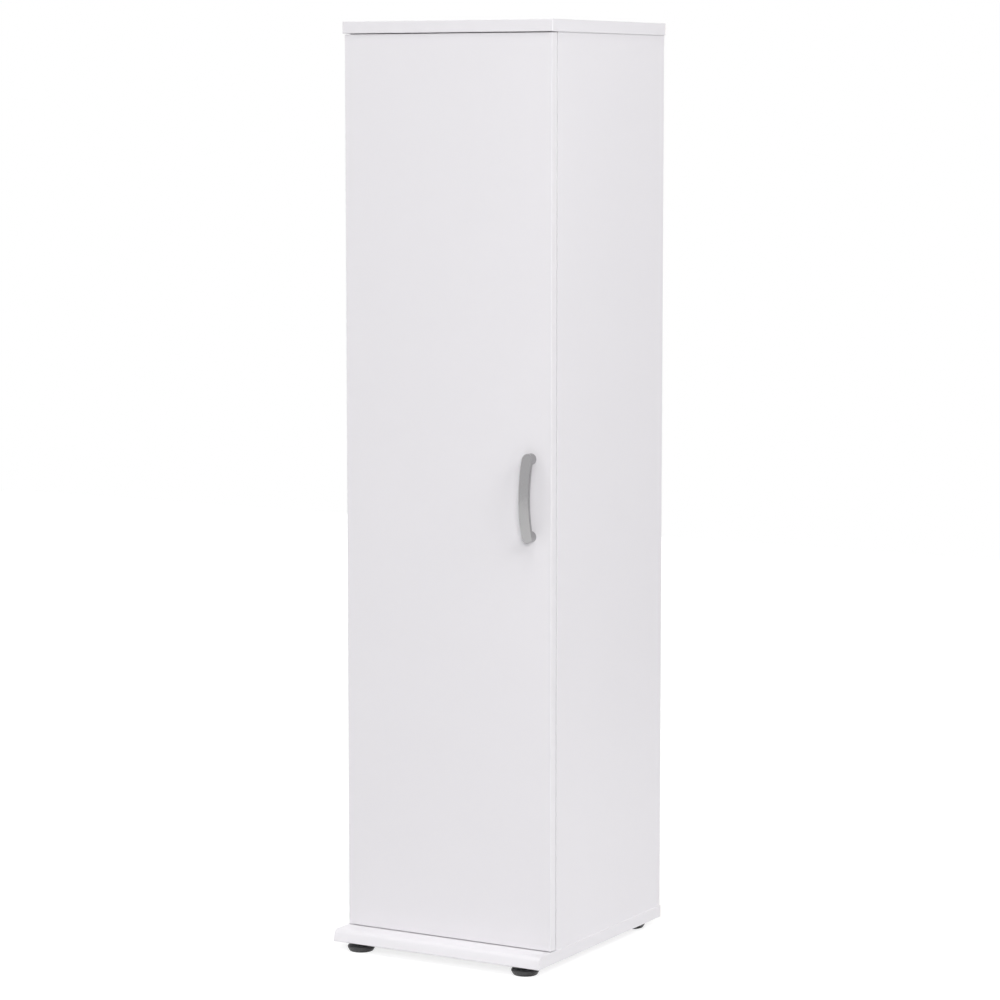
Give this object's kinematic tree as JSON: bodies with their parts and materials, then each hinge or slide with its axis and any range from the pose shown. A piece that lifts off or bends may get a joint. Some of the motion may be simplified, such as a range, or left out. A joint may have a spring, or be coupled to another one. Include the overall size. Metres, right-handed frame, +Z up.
{
  "type": "broom cupboard",
  "caption": "Tall narrow white laminate broom cupboard with a full-height left-hung door, bow handle, shelves behind it and adjustable glide feet.",
  "frame": {"origin": "on the floor, under the middle of the cupboard's outline", "axes": "+Z up, the door faces -Y, hinges at -X and handle at +X"},
  "size_m": [0.401, 0.436, 1.57],
  "materials": {
    "white_laminate": "smooth white melamine laminate on particleboard",
    "white_edging": "white plastic edging, 0.8 mm",
    "white_hardboard": "hardboard, white lacquered inside",
    "beech": "plain fluted beech",
    "satin_nickel": "satin nickel on a zinc casting",
    "nickel_plate": "bright nickel plate on pressed steel",
    "zinc_plate": "zinc-plated steel",
    "zinc_casting": "raw zinc casting",
    "bright_steel": "bright steel",
    "black_plastic": "glossy moulded black plastic",
    "clear_bumper": "soft clear plastic"
  },
  "bodies": {
    "carcass": {"left_side_panel": "white_laminate", "right_side_panel": "white_laminate", "side_panel_edging": "white_edging", "top_board": "white_laminate", "base_board": "white_laminate", "back_panel": "white_hardboard", "fixed_shelf": "white_laminate", "adjustable_shelf": "white_laminate", "shelf_edging": "white_edging", "shelf_pins": "nickel_plate", "cam_locks": "zinc_casting", "cam_bolts": "zinc_plate", "dowels": "beech", "foot_sockets": "black_plastic", "hinge_arm_pins": "bright_steel", "hinge_arm_screws": "nickel_plate", "hinge_plate_screws": "nickel_plate", "hinge_mounting_plate_low": "nickel_plate", "hinge_mounting_plate_middle": "nickel_plate", "hinge_mounting_plate_high": "nickel_plate", "hinge_arm_low": "nickel_plate", "hinge_arm_middle": "nickel_plate", "hinge_arm_high": "nickel_plate"},
    "outer_links": {"hinge_outer_link_low": "nickel_plate", "hinge_outer_link_middle": "nickel_plate", "hinge_outer_link_high": "nickel_plate"},
    "inner_links": {"hinge_inner_link_low": "nickel_plate", "hinge_inner_link_middle": "nickel_plate", "hinge_inner_link_high": "nickel_plate"},
    "door": {"door_panel": "white_laminate", "door_edging": "white_edging", "handle": "satin_nickel", "handle_screws": "zinc_plate", "door_bumpers": "clear_bumper", "hinge_cup_pins": "bright_steel", "hinge_cup_screws": "nickel_plate", "hinge_cup_low": "nickel_plate", "hinge_cup_middle": "nickel_plate", "hinge_cup_high": "nickel_plate"},
    "foot_front_left": {"foot_pad_front_left": "black_plastic", "foot_stem_front_left": "zinc_plate"},
    "foot_front_right": {"foot_pad_front_right": "black_plastic", "foot_stem_front_right": "zinc_plate"},
    "foot_rear_left": {"foot_pad_rear_left": "black_plastic", "foot_stem_rear_left": "zinc_plate"},
    "foot_rear_right": {"foot_pad_rear_right": "black_plastic", "foot_stem_rear_right": "zinc_plate"}
  },
  "joints": [
    {"name": "door_swing", "type": "hinge", "parent": "outer_links", "child": "door", "pos_m": [-0.1856, -0.1593, 0.793], "axis": [0, 0, -1], "range_deg": [0, 123.8]},
    {"name": "outer_link_swing", "type": "hinge", "parent": "carcass", "child": "outer_links", "pos_m": [-0.1585, -0.1488, 0.793], "axis": [0, 0, -1], "range_deg": [-28, 0]},
    {"name": "inner_link_swing", "type": "hinge", "parent": "carcass", "child": "inner_links", "pos_m": [-0.1693, -0.1657, 0.793], "axis": [0, 0, -1], "range_deg": [-30, 0]},
    {"name": "foot_front_left_height", "type": "slide", "parent": "carcass", "child": "foot_front_left", "axis": [0, 0, -1], "range_m": [0, 0.01]},
    {"name": "foot_front_right_height", "type": "slide", "parent": "carcass", "child": "foot_front_right", "axis": [0, 0, -1], "range_m": [0, 0.01]},
    {"name": "foot_rear_left_height", "type": "slide", "parent": "carcass", "child": "foot_rear_left", "axis": [0, 0, -1], "range_m": [0, 0.01]},
    {"name": "foot_rear_right_height", "type": "slide", "parent": "carcass", "child": "foot_rear_right", "axis": [0, 0, -1], "range_m": [0, 0.01]}
  ],
  "couplings": [
    {"joint": "outer_link_swing", "follows": "door_swing", "ratio": -0.22469},
    {"joint": "inner_link_swing", "follows": "door_swing", "ratio": -0.24105}
  ]
}
